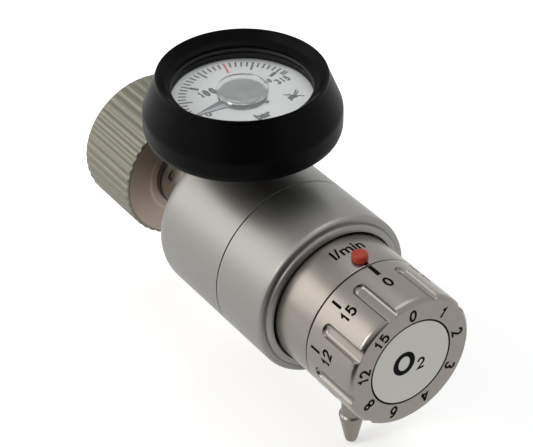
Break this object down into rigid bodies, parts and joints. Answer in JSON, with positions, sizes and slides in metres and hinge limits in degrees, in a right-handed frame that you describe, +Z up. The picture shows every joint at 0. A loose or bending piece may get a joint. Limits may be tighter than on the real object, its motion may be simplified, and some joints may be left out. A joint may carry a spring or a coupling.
{
  "type": "oxygen cylinder regulator",
  "caption": "Satin metal oxygen regulator with fluted hand nut, upright contents gauge in a black rubber boot, click-stop flow knob and hose barb.",
  "frame": {"origin": "centre of the hand nut's rear face, on the main axis, where the cylinder valve enters", "axes": "+Y along the main axis out of the inlet, -Y out of the flow knob's face, +Z up along the gauge's axis, X across"},
  "size_m": [0.0656, 0.1546, 0.1134],
  "materials": {
    "nut_metal": "satin nickel plate, fluted",
    "core_metal": "satin nickel plate on brass",
    "housing_metal": "satin plated sleeve",
    "knob_metal": "pearl nickel plate",
    "inner_brass": "turned brass",
    "socket_brass": "turned brass with milled flats",
    "filter_bronze": "sintered bronze grains",
    "spring_steel": "bright spring steel",
    "seal_rubber": "moulded seal rubber",
    "seat_plastic": "off-white sealing plastic",
    "label_grey": "printed satin disc",
    "signal_red": "red enamel",
    "gauge_black": "black case",
    "clear_window": "clear moulded window",
    "dial_white": "printed white dial",
    "pointer_grey": "dark grey paint",
    "boot_rubber": "moulded black rubber"
  },
  "bodies": {
    "regulator": {"inlet_stem": "inner_brass", "inlet_o_ring": "seal_rubber", "inlet_filter": "filter_bronze", "neck_washer": "seal_rubber", "regulator_core": "core_metal", "rear_housing": "housing_metal", "front_housing": "housing_metal", "piston_stem_o_ring": "seal_rubber", "main_spring": "spring_steel", "relief_cap": "inner_brass", "relief_spring": "spring_steel", "flow_body": "knob_metal", "plug_o_ring": "seal_rubber", "orifice_seal": "seal_rubber", "chamber_cover": "inner_brass", "spindle_o_ring": "seal_rubber", "detent_spring": "spring_steel", "stop_pin": "spring_steel", "indicator_pin": "signal_red", "hose_barb": "knob_metal", "barb_washer": "seal_rubber", "gauge_socket": "socket_brass", "gauge_washer": "seat_plastic", "gauge_case": "gauge_black", "gauge_bezel": "gauge_black", "gauge_window": "clear_window", "gauge_dial": "dial_white", "movement_lower_plate": "inner_brass", "movement_upper_plate": "inner_brass", "bourdon_tube": "inner_brass", "gauge_boot": "boot_rubber"},
    "nut": {"hand_nut": "nut_metal"},
    "selector": {"flow_knob": "knob_metal", "knob_label_disc": "label_grey", "knob_screw": "spring_steel", "knob_spindle": "inner_brass", "orifice_disc": "inner_brass"},
    "piston_group": {"piston": "inner_brass", "piston_o_ring": "seal_rubber", "valve_seat": "seat_plastic"},
    "detent": {"detent_ball": "spring_steel"},
    "relief": {"relief_poppet": "inner_brass"},
    "pointer_group": {"pointer_spindle": "inner_brass", "gauge_pointer": "pointer_grey"},
    "sector": {"sector_gear": "inner_brass"},
    "link": {"tip_link": "spring_steel"}
  },
  "joints": [
    {"name": "nut_spin", "type": "hinge", "parent": "regulator", "child": "nut", "pos_m": [0, -0.0146, 0], "axis": [0, 1, 0], "continuous": true},
    {"name": "flow_selector", "type": "hinge", "parent": "regulator", "child": "selector", "pos_m": [0, -0.14, 0], "axis": [0, -1, 0], "range_deg": [0, 320]},
    {"name": "piston_slide", "type": "slide", "parent": "regulator", "child": "piston_group", "axis": [0, 1, 0], "range_m": [0, 0.001], "stiffness_N_per_m": 2000, "springref_m": -0.001, "deforming": ["main_spring"]},
    {"name": "detent_slide", "type": "slide", "parent": "regulator", "child": "detent", "axis": [0, 1, 0], "range_m": [0, 0.0005], "stiffness_N_per_m": 200, "springref_m": -0.001, "deforming": ["detent_spring"]},
    {"name": "relief_slide", "type": "slide", "parent": "regulator", "child": "relief", "axis": [0, 0, -1], "range_m": [0, 0.0008], "stiffness_N_per_m": 200, "springref_m": -0.002, "deforming": ["relief_spring"]},
    {"name": "sector_turn", "type": "hinge", "parent": "regulator", "child": "sector", "pos_m": [-0.00752, -0.07763, 0.0464], "axis": [0, 0, 1], "range_deg": [0, 34.8]},
    {"name": "pointer_turn", "type": "hinge", "parent": "regulator", "child": "pointer_group", "pos_m": [0, -0.0646, 0.0464], "axis": [0, 0, -1], "range_deg": [0, 174]},
    {"name": "link_turn", "type": "hinge", "parent": "sector", "child": "link", "pos_m": [-0.00962, -0.08127, 0.0478], "axis": [0, 0, -1], "range_deg": [0, 34.8]}
  ],
  "couplings": [
    {"joint": "pointer_turn", "follows": "sector_turn", "ratio": 5},
    {"joint": "link_turn", "follows": "sector_turn", "ratio": 1}
  ]
}
